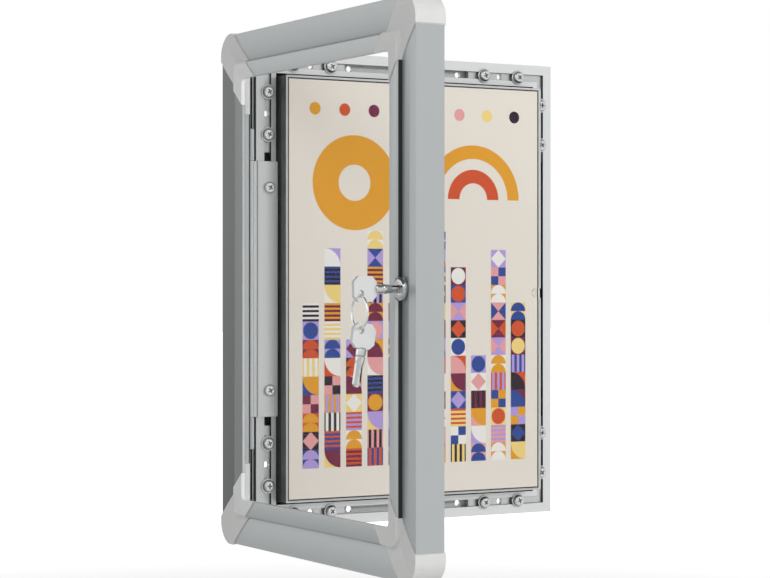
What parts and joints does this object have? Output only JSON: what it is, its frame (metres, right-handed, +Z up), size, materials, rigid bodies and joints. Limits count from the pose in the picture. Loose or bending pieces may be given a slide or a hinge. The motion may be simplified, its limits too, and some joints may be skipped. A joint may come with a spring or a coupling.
{
  "type": "lockable poster case",
  "caption": "Wall-mounted lockable poster case for an A4 sheet: slotted aluminium back frame with a raised tray, and a glazed hinged door with corner caps, cam lock and keys.",
  "frame": {"origin": "centre of the rear face that lies on the wall, at mid height", "axes": "+Y into the wall, +Z up along the long side, +X to the right as seen from the front; the hinge is on the -X side"},
  "size_m": [0.3089, 0.2746, 0.3538],
  "materials": {
    "back_aluminium": "light silver anodised, satin",
    "bracket_steel": "zinc plated, satin",
    "screw_steel": "zinc plated, bright",
    "panel_white": "matt sheet",
    "tray_white": "white powder coat",
    "rivet_aluminium": "bright",
    "paper": "matt printed sheet",
    "cover_clear": "clear sheet",
    "door_aluminium": "grey anodised, satin",
    "cap_plastic": "light grey moulding, satin",
    "glazing_clear": "clear sheet",
    "gasket_dark": "matt tape",
    "bush_plastic": "matt moulding",
    "lock_chrome": "polished plating",
    "lock_steel": "plated, satin",
    "key_nickel": "nickel plated",
    "key_plastic": "pale grey moulding",
    "ring_steel": "polished wire"
  },
  "bodies": {
    "case": {"back_rail_top": "back_aluminium", "back_rail_bottom": "back_aluminium", "back_stile_hinge": "back_aluminium", "back_stile_lock": "back_aluminium", "corner_bracket_1": "bracket_steel", "corner_bracket_2": "bracket_steel", "corner_bracket_3": "bracket_steel", "corner_bracket_4": "bracket_steel", "bracket_screws": "screw_steel", "bracket_washers": "screw_steel", "hinge_leaf": "back_aluminium", "leaf_screws": "screw_steel", "leaf_nuts": "bracket_steel", "back_panel": "panel_white", "poster_tray": "tray_white", "tray_rivets": "rivet_aluminium", "poster_sheet": "paper", "poster_cover": "cover_clear"},
    "door": {"door_rail_top": "door_aluminium", "door_rail_bottom": "door_aluminium", "door_stile_hinge": "door_aluminium", "door_stile_lock": "door_aluminium", "corner_cap_1": "cap_plastic", "corner_cap_2": "cap_plastic", "corner_cap_3": "cap_plastic", "corner_cap_4": "cap_plastic", "glazing": "glazing_clear", "glazing_gasket": "gasket_dark", "hinge_bush_top": "bush_plastic", "hinge_bush_bottom": "bush_plastic", "lock_body": "lock_chrome", "lock_washer": "lock_steel", "lock_nut": "lock_steel"},
    "plug": {"lock_plug": "lock_chrome", "lock_cam": "lock_steel", "cam_screw": "lock_steel"},
    "key": {"lock_key": "key_nickel", "lock_key_head": "key_plastic"},
    "ring": {"key_ring": "ring_steel"},
    "spare": {"spare_key": "key_nickel", "spare_key_head": "key_plastic"}
  },
  "joints": [
    {"name": "door_hinge", "type": "hinge", "parent": "case", "child": "door", "pos_m": [-0.1288, -0.0125, 0], "axis": [0, 0, 1], "range_deg": [-20, 90]},
    {"name": "lock_turn", "type": "hinge", "parent": "door", "child": "plug", "pos_m": [-0.15, -0.2566, 0], "axis": [-1, 0, 0], "range_deg": [0, 90]},
    {"name": "key_slide", "type": "slide", "parent": "plug", "child": "key", "axis": [-1, 0, 0], "range_m": [0, 0.025]},
    {"name": "ring_swing", "type": "hinge", "parent": "key", "child": "ring", "pos_m": [-0.1779, -0.2566, -0.00385], "axis": [0, 1, 0], "range_deg": [-12, 12]},
    {"name": "spare_key_swing", "type": "hinge", "parent": "ring", "child": "spare", "pos_m": [-0.1779, -0.2566, -0.02345], "axis": [0, 1, 0], "range_deg": [-15, 15]}
  ]
}
